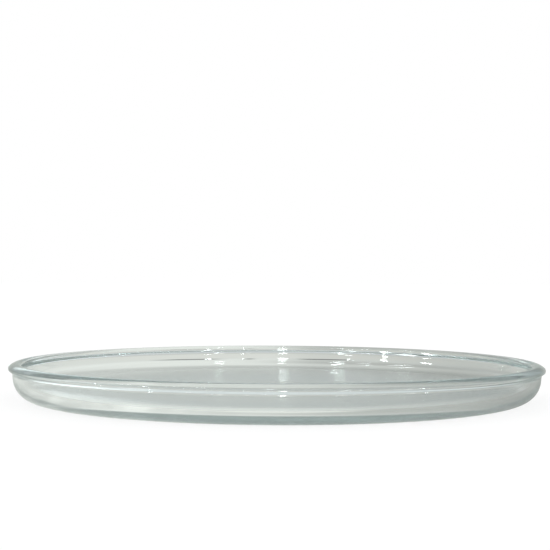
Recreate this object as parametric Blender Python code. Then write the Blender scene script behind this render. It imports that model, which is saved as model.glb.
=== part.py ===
"""Shallow evaporating dish: one pressing of clear, faintly green glass.

Run with: blender --background --python part.py
Metres, +Z up. The origin is the centre of the underside, where the dish stands on a bench.
"""

import math

import bmesh
import bpy
from mathutils import Vector

MM = 0.001

# Driving dimensions
RIM_DIAMETER = 250.0 * MM
HEIGHT = 17.0 * MM
FLOOR_THICKNESS = 5.2 * MM
WALL_THICKNESS = 4.6 * MM
RIM_OVERHANG = 1.7 * MM  # how far the rim stands out past the wall
RIM_DEPTH = 3.3 * MM  # from the crest down to the top of the wall
CROWN_RADIUS = 6.0 * MM  # the rim's gently rounded top
NOSE_RADIUS = 1.1 * MM  # the rim's rounded outer edge
RIM_FILLET = 2.0 * MM  # the hollow curve from under the rim into the wall
INNER_EDGE_RADIUS = 2.0 * MM  # the fire-polished inner edge of the rim
OUTER_SHOULDER_RADIUS = 10.8 * MM  # the curve from the base up into the wall
INNER_SHOULDER_RADIUS = 5.6 * MM  # the curve from the floor up into the wall
WALL_DRAFT = math.radians(6.0)  # lean of the wall, which lets the pressing leave its mould

# How finely the turned shape is faceted
TURN_STEPS = 96
SHOULDER_STEPS = 8
FILLET_STEPS = 3
NOSE_STEPS = 4
CROWN_STEPS = 4
INNER_EDGE_STEPS = 5
SAME_POINT = 0.001 * MM

GLASS_COLOUR = (0.80, 0.87, 0.84, 1.0)
GLASS_ROUGHNESS = 0.02
GLASS_IOR = 1.52


def clear_scene():
    for obj in list(bpy.data.objects):
        bpy.data.objects.remove(obj)


def arc(centre, radius, start, end, steps):
    """Points of a round stretch of the profile, as (distance from the axis, height)."""
    points = []
    for step in range(steps + 1):
        angle = start + (end - start) * step / steps
        points.append(Vector((centre[0] + radius * math.cos(angle),
                              centre[1] + radius * math.sin(angle))))
    return points


def rim_profile(wall_top):
    """Up from the wall, round the fillet and the nose and over the crown to the rim's crest."""
    crown = Vector((wall_top.x - WALL_THICKNESS + INNER_EDGE_RADIUS, HEIGHT - CROWN_RADIUS))
    crown_to_nose = CROWN_RADIUS - NOSE_RADIUS
    crown_turn = math.asin((RIM_DIAMETER / 2 - NOSE_RADIUS - crown.x) / crown_to_nose)
    nose = crown + crown_to_nose * Vector((math.sin(crown_turn), math.cos(crown_turn)))

    # The fillet touches both the wall and the nose, which sets how far down the wall it sits.
    up_wall = Vector((math.sin(WALL_DRAFT), math.cos(WALL_DRAFT)))
    off_wall = Vector((math.cos(WALL_DRAFT), -math.sin(WALL_DRAFT)))
    offset = wall_top + off_wall * RIM_FILLET - nose
    along = offset.dot(up_wall)
    reach = NOSE_RADIUS + RIM_FILLET
    fillet = nose + offset - up_wall * (
        along + math.sqrt(along ** 2 - offset.length_squared + reach ** 2))
    to_nose = nose - fillet
    fillet_end = math.atan2(to_nose.y, to_nose.x)

    return (arc(fillet, RIM_FILLET, math.pi - WALL_DRAFT, fillet_end, FILLET_STEPS)
            + arc(nose, NOSE_RADIUS, fillet_end - math.pi, 0, NOSE_STEPS)[1:]
            + arc(nose, NOSE_RADIUS, 0, math.pi / 2 - crown_turn, NOSE_STEPS)[1:]
            + arc(crown, CROWN_RADIUS, math.pi / 2 - crown_turn, math.pi / 2, CROWN_STEPS)[1:])


def outside_profile():
    """From the centre of the base out, up the wall and round the rim to its crest."""
    wall_top = Vector((RIM_DIAMETER / 2 - RIM_OVERHANG, HEIGHT - RIM_DEPTH))
    shoulder_top = OUTER_SHOULDER_RADIUS * (1 - math.sin(WALL_DRAFT))
    lean = (wall_top.y - shoulder_top) * math.tan(WALL_DRAFT)
    base_radius = wall_top.x - lean - OUTER_SHOULDER_RADIUS * math.cos(WALL_DRAFT)
    shoulder = arc((base_radius, OUTER_SHOULDER_RADIUS), OUTER_SHOULDER_RADIUS,
                   -math.pi / 2, -WALL_DRAFT, SHOULDER_STEPS)
    return [Vector((0.0, 0.0))] + shoulder + rim_profile(wall_top)


def inside_profile():
    """From the rim's crest over its inner edge, down the wall and in across the floor."""
    wall_top = RIM_DIAMETER / 2 - RIM_OVERHANG - WALL_THICKNESS
    edge_centre = (wall_top + INNER_EDGE_RADIUS, HEIGHT - INNER_EDGE_RADIUS)
    edge = arc(edge_centre, INNER_EDGE_RADIUS,
               math.pi / 2, math.pi - WALL_DRAFT, INNER_EDGE_STEPS)

    shoulder_top = FLOOR_THICKNESS + INNER_SHOULDER_RADIUS * (1 - math.sin(WALL_DRAFT))
    lean = (edge[-1].y - shoulder_top) * math.tan(WALL_DRAFT)
    floor_radius = edge[-1].x - lean - INNER_SHOULDER_RADIUS * math.cos(WALL_DRAFT)
    shoulder_centre = (floor_radius, FLOOR_THICKNESS + INNER_SHOULDER_RADIUS)
    shoulder = arc(shoulder_centre, INNER_SHOULDER_RADIUS,
                   -WALL_DRAFT, -math.pi / 2, SHOULDER_STEPS)
    return edge[1:] + shoulder + [Vector((0.0, FLOOR_THICKNESS))]


def turned_mesh(name, profile):
    """The closed solid that a profile sweeps out round the vertical axis."""
    shape = bmesh.new()
    verts = [shape.verts.new((point.x, 0.0, point.y)) for point in profile]
    edges = [shape.edges.new(pair) for pair in zip(verts, verts[1:])]
    bmesh.ops.spin(shape, geom=verts + edges, cent=(0, 0, 0), axis=(0, 0, 1),
                   angle=math.tau, steps=TURN_STEPS, use_merge=True)
    bmesh.ops.remove_doubles(shape, verts=shape.verts, dist=SAME_POINT)
    bmesh.ops.recalc_face_normals(shape, faces=shape.faces)
    mesh = bpy.data.meshes.new(name)
    shape.to_mesh(mesh)
    shape.free()
    mesh.shade_smooth()
    mesh.set_sharp_from_angle(angle=math.radians(40))
    return mesh


def glass():
    material = bpy.data.materials.new("glass")
    material.use_nodes = True
    shader = material.node_tree.nodes["Principled BSDF"]
    shader.inputs["Base Color"].default_value = GLASS_COLOUR
    shader.inputs["Metallic"].default_value = 0.0
    shader.inputs["Roughness"].default_value = GLASS_ROUGHNESS
    shader.inputs["IOR"].default_value = GLASS_IOR
    shader.inputs["Transmission Weight"].default_value = 1.0
    return material


def dish():
    mesh = turned_mesh("dish", outside_profile() + inside_profile())
    mesh.materials.append(glass())
    obj = bpy.data.objects.new("dish", mesh)
    bpy.context.scene.collection.objects.link(obj)


clear_scene()
dish()
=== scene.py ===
"""The looks of the evaporating dish: its finely turned glass, the pale studio and the camera."""

import math

import bpy
from mathutils import Matrix, Vector, noise


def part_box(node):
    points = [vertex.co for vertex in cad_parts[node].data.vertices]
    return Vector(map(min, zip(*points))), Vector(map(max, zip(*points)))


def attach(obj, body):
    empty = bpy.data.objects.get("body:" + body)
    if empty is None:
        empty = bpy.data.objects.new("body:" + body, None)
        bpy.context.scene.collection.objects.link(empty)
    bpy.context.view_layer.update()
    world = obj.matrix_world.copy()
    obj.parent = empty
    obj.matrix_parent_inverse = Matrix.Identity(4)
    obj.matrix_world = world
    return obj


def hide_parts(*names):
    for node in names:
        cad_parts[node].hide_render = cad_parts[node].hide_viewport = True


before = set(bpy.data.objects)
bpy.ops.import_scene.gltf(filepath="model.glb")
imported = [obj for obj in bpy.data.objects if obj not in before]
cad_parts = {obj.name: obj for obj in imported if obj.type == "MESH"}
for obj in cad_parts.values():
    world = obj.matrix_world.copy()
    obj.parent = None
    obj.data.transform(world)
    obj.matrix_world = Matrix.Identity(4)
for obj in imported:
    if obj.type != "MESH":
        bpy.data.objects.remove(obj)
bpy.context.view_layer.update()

MM = 0.001

# The pressing. Its diameter and height come from the dish's box in model.glb.
FLOOR_THICKNESS = 5.2 * MM
WALL_THICKNESS = 4.6 * MM
RIM_OVERHANG = 1.7 * MM
RIM_DEPTH = 3.3 * MM
CROWN_RADIUS = 6.0 * MM
NOSE_RADIUS = 1.1 * MM
RIM_FILLET = 2.0 * MM
OUTER_SHOULDER_RADIUS = 10.8 * MM
INNER_SHOULDER_RADIUS = 5.6 * MM
WALL_DRAFT = math.radians(6.0)
INNER_EDGE_RADIUS = 2.0 * MM

# How many steps a turn and each stretch of the profile are cut into.
TURN_STEPS = 640
BASE_STEPS = 12
OUTER_SHOULDER_STEPS = 28
WALL_STEPS = 5
FILLET_STEPS = 10
NOSE_STEPS = 10
NOSE_TO_CROWN_STEPS = 5
CROWN_STEPS = 12
INNER_EDGE_STEPS = 14
INNER_SHOULDER_STEPS = 22
FLOOR_STEPS = 26

# The pressing's surface swells and dips: (depth, length) of each set of waves. The flat floor and
# base have only a share of them.
WAVES = ((0.022 * MM, 34.0 * MM), (0.0025 * MM, 9.0 * MM))
FLOOR_WAVES_SHARE = 0.35

# Glass. Each metre of it absorbs (1 - tint) * density of red, green and blue.
GLASS_IOR = 1.52
GLASS_TINT = (0.24, 0.46, 0.45)
GLASS_DENSITY = 3.0

# The glass's skin. Each noise is (waves per metre, detail, roughness of the noise), and each stop is
# (noise, result): the smears' roughness and how clear the glass is.
SMEAR_NOISE = (38.0, 4.0, 0.6)
SMEARS = ((0.0, 0.0), (0.45, 0.004), (0.62, 0.012), (0.75, 0.03), (1.0, 0.04))
CLEARNESS_NOISE = (9.0, 2.0, 0.5)
CLEARNESS = ((0.0, 0.965), (0.4, 0.985), (0.6, 1.0), (1.0, 1.0))
SKIN_NOISE = (160.0, 2.0, 0.5)
SKIN_STRENGTH = 0.2
SKIN_DEPTH = 0.02 * MM

# The inside floor is worn slightly dull. Glass counts as floor while it is this near its height and
# faces up this squarely: (fully, no longer) and (not yet, fully).
FLOOR_ROUGHNESS = 0.18
FLOOR_NEARNESS = (0.2 * MM, 0.6 * MM)
FLOOR_FACING = (0.94, 0.99)

# Where the eye is, in rim radii from the dish's axis and in degrees above the rim.
EYE_AWAY = 5.0
EYE_PITCH = math.radians(4.10)

# How the camera is held: a long lens, tipped a little below level, panned and rolled a touch.
LENS = 86.3
SENSOR = 36.0
CAMERA_TIP = math.radians(0.375)
CAMERA_PAN = math.radians(0.098)
CAMERA_ROLL = math.radians(0.27)

# What the glass sees all round. Angles are in degrees; azimuth 0 is behind the dish, and it grows
# towards +X. Each stop is (angle, brightness). The colour turns between two elevations.
ROOM_BY_ELEVATION = (
    (-6, 0.60), (5, 0.60), (6.5, 0.58), (9, 0.60), (12, 0.64), (15, 0.68), (18, 0.74), (20, 0.9),
    (21, 1.15), (22, 1.15), (23.5, 0.55), (27, 0.36), (40, 0.30), (50, 0.35), (60, 0.52),
    (90, 0.62))
ROOM_BY_AZIMUTH = (
    (-180, 1.18), (-90, 1.15), (-40, 1.10), (-10, 1.04), (0, 1.0), (4, 0.93), (10, 0.91),
    (25, 0.95), (60, 1.08), (90, 1.15), (180, 1.18))
ROOM_LOW_COLOUR = (0.985, 1.03, 0.975)
ROOM_HIGH_COLOUR = (0.94, 1.03, 1.03)
ROOM_COLOUR_TURN = (7.5, 10.0)

# Small lamps low behind the dish, tall windows behind the camera, and brighter and dimmer parts of
# the room: (azimuth, elevation), (half width, half height), added brightness.
ROOM_PATCHES = (
    ((0.35, 0.8), (0.16, 0.9), 9.0),
    ((0.35, 3.9), (0.16, 0.4), 6.0),
    ((3.05, 3.9), (0.16, 0.4), 4.0),
    ((6.45, 3.9), (0.22, 0.4), 4.0),
    ((-2.6, 3.9), (0.16, 0.4), 4.0),
    ((-1.35, 3.9), (0.12, 0.3), 3.0),
    ((-177.0, 11.8), (3.2, 1.3), 36.0),
    ((-177.0, 16.0), (2.2, 1.6), 3.0),
    ((-177.0, 26.0), (3.0, 5.0), 14.0),
    ((-177.0, 46.0), (3.2, 5.0), 16.0),
    ((-143.0, 11.8), (2.6, 1.8), 48.0),
    ((-143.0, 46.0), (2.8, 11.0), 30.0),
    ((-125.0, 9.8), (1.8, 3.2), 36.0),
    ((-125.0, 46.0), (1.8, 8.0), 16.0),
    ((-101.0, 9.8), (3.4, 3.0), 36.0),
    ((-99.0, 46.0), (2.6, 10.0), 16.0),
    ((145.5, 11.8), (2.0, 1.8), 44.0),
    ((145.5, 46.0), (2.0, 8.0), 24.0),
    ((163.0, 12.0), (0.8, 2.0), 24.0),
    ((-15.0, 13.0), (9.0, 5.0), 1.15),
    ((15.0, 10.5), (9.0, 6.0), -0.20),
    ((38.0, 23.0), (20.0, 4.0), -0.55),
    ((-65.0, 50.0), (50.0, 16.0), -0.30),
    ((80.0, 47.0), (60.0, 20.0), 0.30))

# What the glass sees of the table, in stops of (metres, brightness): a glow with painted light and
# shade.
# The dish's painted shadow darkens it under and behind the dish, more on the right. A painted bright
# ring lies just round the dish's foot, and the table is painted brighter on the left, where the
# light comes from. The first three run out from the dish's axis: towards the camera, and away from
# it on the left and on the right. The share and the last one run across. The colour turns between
# two distances behind the axis.
TABLE_TOWARDS = (
    (0.0, 0.42), (0.05, 0.44), (0.09, 0.46), (0.102, 0.52), (0.106, 0.76), (0.109, 0.78),
    (0.112, 0.64), (0.116, 0.60), (0.13, 0.58), (0.16, 0.58), (1.0, 0.60))
TABLE_AWAY_LEFT = (
    (0.0, 0.44), (0.05, 0.34), (0.10, 0.26), (0.112, 0.44), (0.125, 0.54), (0.132, 0.61),
    (0.140, 0.80), (0.19, 0.81), (0.23, 0.73), (0.32, 0.70), (1.0, 0.62))
TABLE_AWAY_RIGHT = (
    (0.0, 0.44), (0.05, 0.34), (0.10, 0.26), (0.112, 0.26), (0.122, 0.50), (0.14, 0.73),
    (0.158, 0.57), (0.175, 0.61), (0.21, 0.71), (0.32, 0.71), (1.0, 0.62))
TABLE_RIGHT_SHARE = ((-1.0, 0.0), (-0.03, 0.0), (0.03, 1.0), (1.0, 1.0))
TABLE_ACROSS = (
    (-1.0, 1.02), (-0.4, 1.08), (-0.2, 1.22), (-0.12, 1.30), (-0.06, 1.16), (-0.02, 1.09),
    (0.02, 0.89), (0.08, 0.82), (0.12, 0.72), (0.16, 0.76), (0.3, 0.84), (1.0, 0.95))
TABLE_COLOUR = (0.98, 1.03, 0.975)
TABLE_FAR_COLOUR = (0.995, 1.028, 0.968)
TABLE_COLOUR_TURN = (0.20, 0.28)

# Seen from above, what lies under the dish turns to a plain pale table, and seen straight down all
# of the table does. Both turns go by the sine of the view's steepness. Distances are in metres.
TABLE_FROM_ABOVE = (0.36, 0.46)
TABLE_UNDER_DISH = (0.078, 0.100)
TABLE_STRAIGHT_DOWN = (0.90, 0.97)
TABLE_FROM_ABOVE_BRIGHTNESS = 0.88

# Light that the glass has gathered into bright ripples on the table, near its own edge: a ring round
# the axis, only on the left, broken into streaks by noise.
RIPPLE_BRIGHTNESS = 0.50
RIPPLE_NOISE = (55.0, 3.0, 0.55)
RIPPLE_RING = ((0.0, 0.0), (0.106, 0.0), (0.115, 1.0), (0.128, 1.0), (0.140, 0.0), (1.0, 0.0))
RIPPLE_ACROSS = ((-1.0, 1.0), (-0.05, 1.0), (-0.02, 0.3), (0.02, 0.0), (1.0, 0.0))
RIPPLE_STREAKS = ((0.0, 0.40), (0.45, 0.40), (0.62, 0.75), (1.0, 0.75))

# Painted shade: a dark line across the far side of the table, where its edge lies in shadow, and how
# strongly it shows along its length.
EDGE_AWAY = 0.218
EDGE_HALF_WIDTH = 0.021
EDGE_ACROSS = (
    (-0.085, 0.0), (-0.066, 0.95), (-0.046, 0.95), (-0.034, 0.1), (-0.022, 0.1), (-0.018, 0.8),
    (-0.013, 0.1), (0.012, 0.15), (0.020, 0.85), (0.044, 0.85), (0.052, 0.0))

# The studio's floor lies a little below the dish, so that the two faces never share a place. Most
# of its white is a glow, and the rest takes the dish's shadow.
STUDIO_FLOOR_HALF_SIDE = 4.0
STUDIO_FLOOR_DROP = 0.2 * MM
STUDIO_FLOOR_GLOW = 0.86
STUDIO_FLOOR_GREY = 0.14

# Light crosses the glass and is mirrored within it many times before it comes out. Its brightness
# isn't held back, so that the windows' glints stay white.
LIGHT_BOUNCES = 128
MIRROR_BOUNCES = 64
BRIGHTNESS_HELD_BACK = 0


def arc(centre, radius, start, end, steps):
    """Points of a round stretch of the profile, as (distance from the axis, height)."""
    angles = [start + (end - start) * step / steps for step in range(steps + 1)]
    return [Vector((centre[0] + radius * math.cos(angle), centre[1] + radius * math.sin(angle)))
            for angle in angles]


def between(start, end, steps):
    """Evenly spaced points of a straight stretch, without its two ends."""
    return [start.lerp(end, step / steps) for step in range(1, steps)]


def rim_profile(rim_radius, height, wall_top):
    """Up from the wall, round the fillet and the nose and over the crown to the rim's crest."""
    crown = Vector((wall_top.x - WALL_THICKNESS + INNER_EDGE_RADIUS, height - CROWN_RADIUS))
    crown_to_nose = CROWN_RADIUS - NOSE_RADIUS
    crown_turn = math.asin((rim_radius - NOSE_RADIUS - crown.x) / crown_to_nose)
    nose = crown + crown_to_nose * Vector((math.sin(crown_turn), math.cos(crown_turn)))

    # The fillet touches both the wall and the nose, which sets how far down the wall it sits.
    up_wall = Vector((math.sin(WALL_DRAFT), math.cos(WALL_DRAFT)))
    off_wall = Vector((math.cos(WALL_DRAFT), -math.sin(WALL_DRAFT)))
    offset = wall_top + off_wall * RIM_FILLET - nose
    along = offset.dot(up_wall)
    reach = NOSE_RADIUS + RIM_FILLET
    fillet = nose + offset - up_wall * (
        along + math.sqrt(along ** 2 - offset.length_squared + reach ** 2))
    to_nose = nose - fillet
    fillet_end = math.atan2(to_nose.y, to_nose.x)

    nose_end = math.pi / 2 - crown_turn
    return (arc(fillet, RIM_FILLET, math.pi - WALL_DRAFT, fillet_end, FILLET_STEPS)
            + arc(nose, NOSE_RADIUS, fillet_end - math.pi, 0, NOSE_STEPS)[1:]
            + arc(nose, NOSE_RADIUS, 0, nose_end, NOSE_TO_CROWN_STEPS)[1:]
            + arc(crown, CROWN_RADIUS, nose_end, math.pi / 2, CROWN_STEPS)[1:])


def outside_profile(rim_radius, height):
    """From the centre of the base out, up the wall and round the rim to its crest."""
    wall_top = Vector((rim_radius - RIM_OVERHANG, height - RIM_DEPTH))
    shoulder_top = OUTER_SHOULDER_RADIUS * (1 - math.sin(WALL_DRAFT))
    lean = (wall_top.y - shoulder_top) * math.tan(WALL_DRAFT)
    base_radius = wall_top.x - lean - OUTER_SHOULDER_RADIUS * math.cos(WALL_DRAFT)
    shoulder = arc((base_radius, OUTER_SHOULDER_RADIUS), OUTER_SHOULDER_RADIUS,
                   -math.pi / 2, -WALL_DRAFT, OUTER_SHOULDER_STEPS)
    rim = rim_profile(rim_radius, height, wall_top)
    base_centre = Vector((0.0, 0.0))
    return ([base_centre] + between(base_centre, shoulder[0], BASE_STEPS) + shoulder
            + between(shoulder[-1], rim[0], WALL_STEPS) + rim)


def inside_profile(rim_radius, height):
    """From the rim's crest over its inner edge, down the wall and in across the floor."""
    wall_top = rim_radius - RIM_OVERHANG - WALL_THICKNESS
    edge_centre = (wall_top + INNER_EDGE_RADIUS, height - INNER_EDGE_RADIUS)
    edge = arc(edge_centre, INNER_EDGE_RADIUS, math.pi / 2, math.pi - WALL_DRAFT,
               INNER_EDGE_STEPS)

    shoulder_top = FLOOR_THICKNESS + INNER_SHOULDER_RADIUS * (1 - math.sin(WALL_DRAFT))
    lean = (edge[-1].y - shoulder_top) * math.tan(WALL_DRAFT)
    floor_radius = edge[-1].x - lean - INNER_SHOULDER_RADIUS * math.cos(WALL_DRAFT)
    shoulder_centre = (floor_radius, FLOOR_THICKNESS + INNER_SHOULDER_RADIUS)
    shoulder = arc(shoulder_centre, INNER_SHOULDER_RADIUS, -WALL_DRAFT, -math.pi / 2,
                   INNER_SHOULDER_STEPS)
    floor_centre = Vector((0.0, FLOOR_THICKNESS))
    return (edge[1:] + between(edge[-1], shoulder[0], WALL_STEPS) + shoulder
            + between(shoulder[-1], floor_centre, FLOOR_STEPS) + [floor_centre])


def outward(profile, index):
    """The direction that points out of the glass at one point of the profile."""
    along = profile[index + 1] - profile[index - 1]
    return Vector((along.y, -along.x)).normalized()


def swell(place, flat):
    """How far the glass stands proud of its ideal shape, less on the flat floor and base."""
    total = sum(depth * noise.noise(place / length) for depth, length in WAVES)
    return total * (1 - flat * (1 - FLOOR_WAVES_SHARE))


def turned_places(profile):
    """The profile's points in a turn: its first on the axis, a ring for each inner one, its last."""
    places = [(0.0, 0.0, profile[0].y)]
    for index in range(1, len(profile) - 1):
        out = outward(profile, index)
        for step in range(TURN_STEPS):
            angle = math.tau * step / TURN_STEPS
            spoke = Vector((math.cos(angle), math.sin(angle), 0))
            place = spoke * profile[index].x + Vector((0, 0, profile[index].y))
            normal = spoke * out.x + Vector((0, 0, out.y))
            places.append(place + normal * swell(place, abs(out.y)))
    places.append((0.0, 0.0, profile[-1].y))
    return places


def turned_faces(rings):
    """A fan round each place on the axis, and a band between each ring and the next."""
    last_ring = 1 + (rings - 1) * TURN_STEPS
    last_place = 1 + rings * TURN_STEPS
    faces = []
    for step in range(TURN_STEPS):
        after = (step + 1) % TURN_STEPS
        faces.append((0, 1 + after, 1 + step))
        faces.append((last_place, last_ring + step, last_ring + after))
    for ring in range(rings - 1):
        low = 1 + ring * TURN_STEPS
        high = low + TURN_STEPS
        for step in range(TURN_STEPS):
            after = (step + 1) % TURN_STEPS
            faces.append((low + step, low + after, high + after, high + step))
    return faces


def turned_mesh(name, profile):
    """The profile turned round the z axis; its first and last points are on the axis."""
    mesh = bpy.data.meshes.new(name)
    mesh.from_pydata(turned_places(profile), [], turned_faces(len(profile) - 2))
    mesh.validate()
    mesh.shade_smooth()
    return mesh


class Graph:
    """Adds nodes to a node tree. An input is a value, an output, or a node for its first output."""

    def __init__(self, owner):
        owner.use_nodes = True
        self.tree = owner.node_tree
        self.tree.nodes.clear()

    def add(self, kind, *inputs, **settings):
        """A new node with its first inputs filled in; an input given as None keeps its default."""
        node = self.tree.nodes.new(kind)
        for name, value in settings.items():
            setattr(node, name, value)
        for socket, value in zip(node.inputs, inputs):
            if isinstance(value, bpy.types.Node):
                value = value.outputs[0]
            if isinstance(value, bpy.types.NodeSocket):
                self.tree.links.new(value, socket)
            elif value is not None:
                socket.default_value = value
        return node

    def math(self, operation, *inputs):
        """One step of arithmetic."""
        return self.add("ShaderNodeMath", *inputs, operation=operation)

    def noise(self, place, scale, detail, roughness):
        """Soft noise from place to place."""
        return self.add("ShaderNodeTexNoise", place, None, scale, detail, roughness)

    def steps(self, value, stops, before, after):
        """Goes evenly from one result to another while the value passes between two stops."""
        return self.add("ShaderNodeMapRange", value, *stops, before, after)

    def blend(self, share, first, second):
        """The first value where the share is 0, and the second where it is 1."""
        return self.math("ADD", self.math("MULTIPLY", first, self.math("SUBTRACT", 1.0, share)),
                         self.math("MULTIPLY", second, share))

    def curve(self, value, stops):
        """A smooth curve through the stops, each of them (value, result)."""
        first = stops[0][0]
        span = stops[-1][0] - first
        share = self.math("DIVIDE", self.math("SUBTRACT", value, first), span)
        node = self.add("ShaderNodeValToRGB", share)
        node.color_ramp.interpolation = "CARDINAL"
        for place, result in stops[1:-1]:
            node.color_ramp.elements.new((place - first) / span)
        for element, (place, result) in zip(node.color_ramp.elements, stops):
            element.color = (result, result, result, 1)
        return node

    def turning(self, value, stops, before, after):
        """A colour that turns from one to another while the value passes between two stops."""
        share = self.add("ShaderNodeMapRange", value, *stops, 0.0, 1.0,
                         interpolation_type="SMOOTHSTEP")
        node = self.add("ShaderNodeMix", data_type="RGBA")
        self.tree.links.new(share.outputs[0], node.inputs["Factor"])
        # The node has a set of sockets for each kind of data, and these three are for colours.
        node.inputs[6].default_value = (*before, 1)
        node.inputs[7].default_value = (*after, 1)
        return node.outputs[2]


def on_floor(graph, place):
    """1 on the dish's inside floor and 0 on the rest of the glass."""
    height = graph.add("ShaderNodeSeparateXYZ", place).outputs["Z"]
    normal = graph.add("ShaderNodeNewGeometry").outputs["Normal"]
    facing = graph.math("ABSOLUTE", graph.add("ShaderNodeSeparateXYZ", normal).outputs["Z"])
    off = graph.math("ABSOLUTE", graph.math("SUBTRACT", height, FLOOR_THICKNESS))
    level = graph.steps(off, FLOOR_NEARNESS, 1.0, 0.0)
    flat = graph.steps(facing, FLOOR_FACING, 0.0, 1.0)
    return graph.math("MULTIPLY", level, flat)


def glass_material():
    """Clear pressed glass: faint smears and waves on its skin, and a floor worn slightly dull."""
    material = bpy.data.materials.new("clear_glass")
    graph = Graph(material)
    place = graph.add("ShaderNodeTexCoord").outputs["Object"]
    smears = graph.curve(graph.noise(place, *SMEAR_NOISE), SMEARS)
    worn = graph.math("MULTIPLY", on_floor(graph, place), FLOOR_ROUGHNESS)
    clearness = graph.curve(graph.noise(place, *CLEARNESS_NOISE), CLEARNESS)
    skin = graph.noise(place, *SKIN_NOISE)
    polish = graph.add("ShaderNodeBump", SKIN_STRENGTH, SKIN_DEPTH)
    graph.tree.links.new(skin.outputs[0], polish.inputs["Height"])
    shader = graph.add("ShaderNodeBsdfPrincipled", clearness)
    graph.tree.links.new(graph.math("ADD", smears, worn).outputs[0], shader.inputs["Roughness"])
    graph.tree.links.new(polish.outputs[0], shader.inputs["Normal"])
    shader.inputs["IOR"].default_value = GLASS_IOR
    shader.inputs["Transmission Weight"].default_value = 1.0
    absorb = graph.add("ShaderNodeVolumeAbsorption", (*GLASS_TINT, 1), GLASS_DENSITY)
    graph.add("ShaderNodeOutputMaterial", shader, absorb)
    return material


def make_dish(rim_radius, height):
    """The dish itself: one turned piece of glass that stands for the CAD's dish."""
    profile = outside_profile(rim_radius, height) + inside_profile(rim_radius, height)
    mesh = turned_mesh("dish_glass", profile)
    mesh.materials.append(glass_material())
    dish = bpy.data.objects.new("dish_glass", mesh)
    bpy.context.scene.collection.objects.link(dish)
    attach(dish, "root")
    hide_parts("dish")


def seen_straight(graph):
    """1 for what the camera or a pale surface sees, and 0 for what the glass sees."""
    path = graph.add("ShaderNodeLightPath")
    return graph.math("MAXIMUM", path.outputs["Is Camera Ray"], path.outputs["Is Diffuse Ray"])


def patch(graph, azimuth, elevation, place, size, strength):
    """A soft-edged oval of light in the room, or of shade where the strength is below nought."""
    across = graph.math("DIVIDE", graph.math("SUBTRACT", azimuth, place[0]), size[0])
    up = graph.math("DIVIDE", graph.math("SUBTRACT", elevation, place[1]), size[1])
    away = graph.math("ADD", graph.math("MULTIPLY", across, across), graph.math("MULTIPLY", up, up))
    inside = graph.math("MAXIMUM", graph.math("SUBTRACT", 1.0, away), 0.0)
    return graph.math("MULTIPLY", inside, strength)


def make_world():
    """White for the camera; for the glass, a room that differs with elevation, azimuth and lamps."""
    world = bpy.data.worlds.new("studio")
    bpy.context.scene.world = world
    graph = Graph(world)
    direction = graph.add("ShaderNodeTexCoord")
    axes = graph.add("ShaderNodeSeparateXYZ", direction)
    degree = math.degrees(1)
    elevation = graph.math("MULTIPLY", graph.math("ARCSINE", axes.outputs["Z"]), degree)
    around = graph.math("ARCTAN2", axes.outputs["X"], axes.outputs["Y"])
    azimuth = graph.math("MULTIPLY", around, degree)
    bright = graph.math("MULTIPLY", graph.curve(elevation, ROOM_BY_ELEVATION),
                        graph.curve(azimuth, ROOM_BY_AZIMUTH))
    for place, size, strength in ROOM_PATCHES:
        lit = patch(graph, azimuth, elevation, place, size, strength)
        bright = graph.math("ADD", bright, lit)
    colour = graph.turning(elevation, ROOM_COLOUR_TURN, ROOM_LOW_COLOUR, ROOM_HIGH_COLOUR)
    room = graph.add("ShaderNodeBackground", colour, bright)
    white = graph.add("ShaderNodeBackground", (1, 1, 1, 1), 1.0)
    shown = graph.add("ShaderNodeMixShader", seen_straight(graph), room, white)
    graph.add("ShaderNodeOutputWorld", shown)


def ripples(graph, place, x, from_axis, away_share):
    """The light that the glass has gathered on the near side of the table."""
    streaks = graph.noise(place, *RIPPLE_NOISE)
    ring = graph.math("MULTIPLY", graph.curve(streaks, RIPPLE_STREAKS),
                      graph.curve(from_axis, RIPPLE_RING))
    left = graph.math("MULTIPLY", ring, graph.curve(x, RIPPLE_ACROSS))
    return graph.math("MULTIPLY", left, graph.math("SUBTRACT", 1.0, away_share))


def edge_shade(graph, x, y):
    """How much the painted shade along the table's far edge takes away."""
    from_edge = graph.math("ABSOLUTE", graph.math("SUBTRACT", y, EDGE_AWAY))
    outside = graph.math("DIVIDE", from_edge, EDGE_HALF_WIDTH)
    in_edge = graph.math("MAXIMUM", graph.math("SUBTRACT", 1.0, outside), 0.0)
    return graph.math("MULTIPLY", in_edge, graph.curve(x, EDGE_ACROSS))


def from_above_share(graph, from_axis, steepness):
    """How far the table has turned plain and pale, by how steeply it is looked at."""
    from_above = graph.steps(steepness, TABLE_FROM_ABOVE, 0.0, 1.0)
    under_dish = graph.steps(from_axis, TABLE_UNDER_DISH, 1.0, 0.0)
    straight_down = graph.steps(steepness, TABLE_STRAIGHT_DOWN, 0.0, 1.0)
    return graph.math("MAXIMUM", graph.math("MULTIPLY", from_above, under_dish), straight_down)


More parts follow.
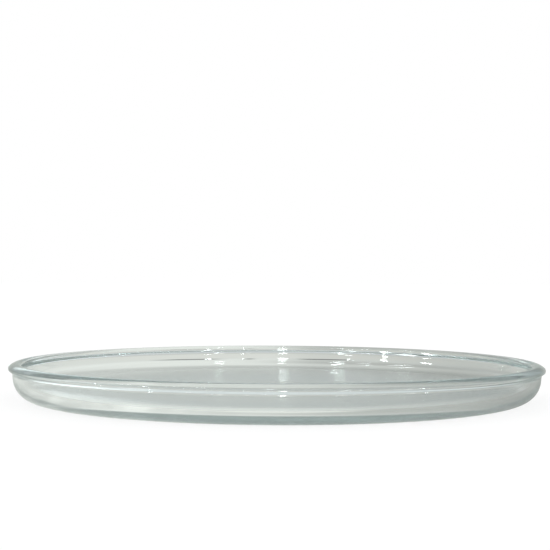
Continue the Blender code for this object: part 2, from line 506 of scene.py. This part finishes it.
def painted_table_light_and_shade(graph):
    """What the glass sees of the table, all painted light and shade: the dish's shadow and brighter
    parts, the ripples of light on it and the shade along its far edge.
    """
    place = graph.add("ShaderNodeNewGeometry")
    axes = graph.add("ShaderNodeSeparateXYZ", place)
    x = axes.outputs["X"]
    y = axes.outputs["Y"]
    from_axis = graph.math("SQRT", graph.math("ADD", graph.math("MULTIPLY", x, x),
                                              graph.math("MULTIPLY", y, y)))
    facing = graph.math("DIVIDE", y, graph.math("MAXIMUM", from_axis, MM))
    away_share = graph.math("MULTIPLY_ADD", facing, 0.5, 0.5)
    away = graph.blend(graph.curve(x, TABLE_RIGHT_SHARE), graph.curve(from_axis, TABLE_AWAY_LEFT),
                       graph.curve(from_axis, TABLE_AWAY_RIGHT))
    shades = graph.blend(away_share, graph.curve(from_axis, TABLE_TOWARDS), away)
    bright = graph.math("MULTIPLY", shades, graph.curve(x, TABLE_ACROSS))
    rippled = graph.math("MULTIPLY_ADD", ripples(graph, place, x, from_axis, away_share),
                         RIPPLE_BRIGHTNESS, bright)
    edged = graph.math("MULTIPLY", rippled, graph.math("SUBTRACT", 1.0, edge_shade(graph, x, y)))
    steepness = graph.add("ShaderNodeSeparateXYZ", place.outputs["Incoming"]).outputs["Z"]
    return graph.blend(from_above_share(graph, from_axis, steepness), edged,
                       TABLE_FROM_ABOVE_BRIGHTNESS)


def make_floor():
    """A wide pale floor, white for the camera, and for the glass a glow with painted light and
    shade.
    """
    side = STUDIO_FLOOR_HALF_SIDE
    z = -STUDIO_FLOOR_DROP
    corners = [(-side, -side, z), (side, -side, z), (side, side, z), (-side, side, z)]
    mesh = bpy.data.meshes.new("floor")
    mesh.from_pydata(corners, [], [(0, 1, 2, 3)])
    floor = bpy.data.objects.new("floor", mesh)
    bpy.context.scene.collection.objects.link(floor)
    material = bpy.data.materials.new("pale_floor")
    graph = Graph(material)
    away = graph.add("ShaderNodeSeparateXYZ", graph.add("ShaderNodeNewGeometry")).outputs["Y"]
    colour = graph.turning(away, TABLE_COLOUR_TURN, TABLE_COLOUR, TABLE_FAR_COLOUR)
    # For the glass the floor glows, with painted light and shade: the dish's shadow, ripples of
    # light and the shade along the far edge.
    glow = graph.add("ShaderNodeEmission", colour, painted_table_light_and_shade(graph))
    grey = (STUDIO_FLOOR_GREY, STUDIO_FLOOR_GREY, STUDIO_FLOOR_GREY, 1)
    pale = graph.add("ShaderNodeAddShader", graph.add("ShaderNodeBsdfDiffuse", grey),
                     graph.add("ShaderNodeEmission", (1, 1, 1, 1), STUDIO_FLOOR_GLOW))
    shown = graph.add("ShaderNodeMixShader", seen_straight(graph), glow, pale)
    graph.add("ShaderNodeOutputMaterial", shown)
    mesh.materials.append(material)


def make_camera(rim_radius, height):
    """In front of the dish, a few degrees above its rim, with the dish low in the picture."""
    distance = EYE_AWAY * rim_radius
    eye = Vector((0, -distance, height + distance * math.tan(EYE_PITCH)))
    camera = bpy.data.objects.new("camera", bpy.data.cameras.new("camera"))
    camera.data.lens = LENS
    camera.data.sensor_width = SENSOR
    camera.matrix_world = (Matrix.Translation(eye)
                           @ Matrix.Rotation(math.pi / 2 - CAMERA_TIP, 4, "X")
                           @ Matrix.Rotation(CAMERA_PAN, 4, "Y")
                           @ Matrix.Rotation(CAMERA_ROLL, 4, "Z"))
    bpy.context.scene.collection.objects.link(camera)
    bpy.context.scene.camera = camera


low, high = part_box("dish")
rim_radius = (high.x - low.x) / 2
height = high.z - low.z

make_dish(rim_radius, height)
make_world()
make_floor()
make_camera(rim_radius, height)

scene = bpy.context.scene
scene.view_settings.view_transform = "Standard"
scene.cycles.max_bounces = LIGHT_BOUNCES
scene.cycles.transmission_bounces = LIGHT_BOUNCES
scene.cycles.glossy_bounces = MIRROR_BOUNCES
scene.cycles.sample_clamp_indirect = BRIGHTNESS_HELD_BACK
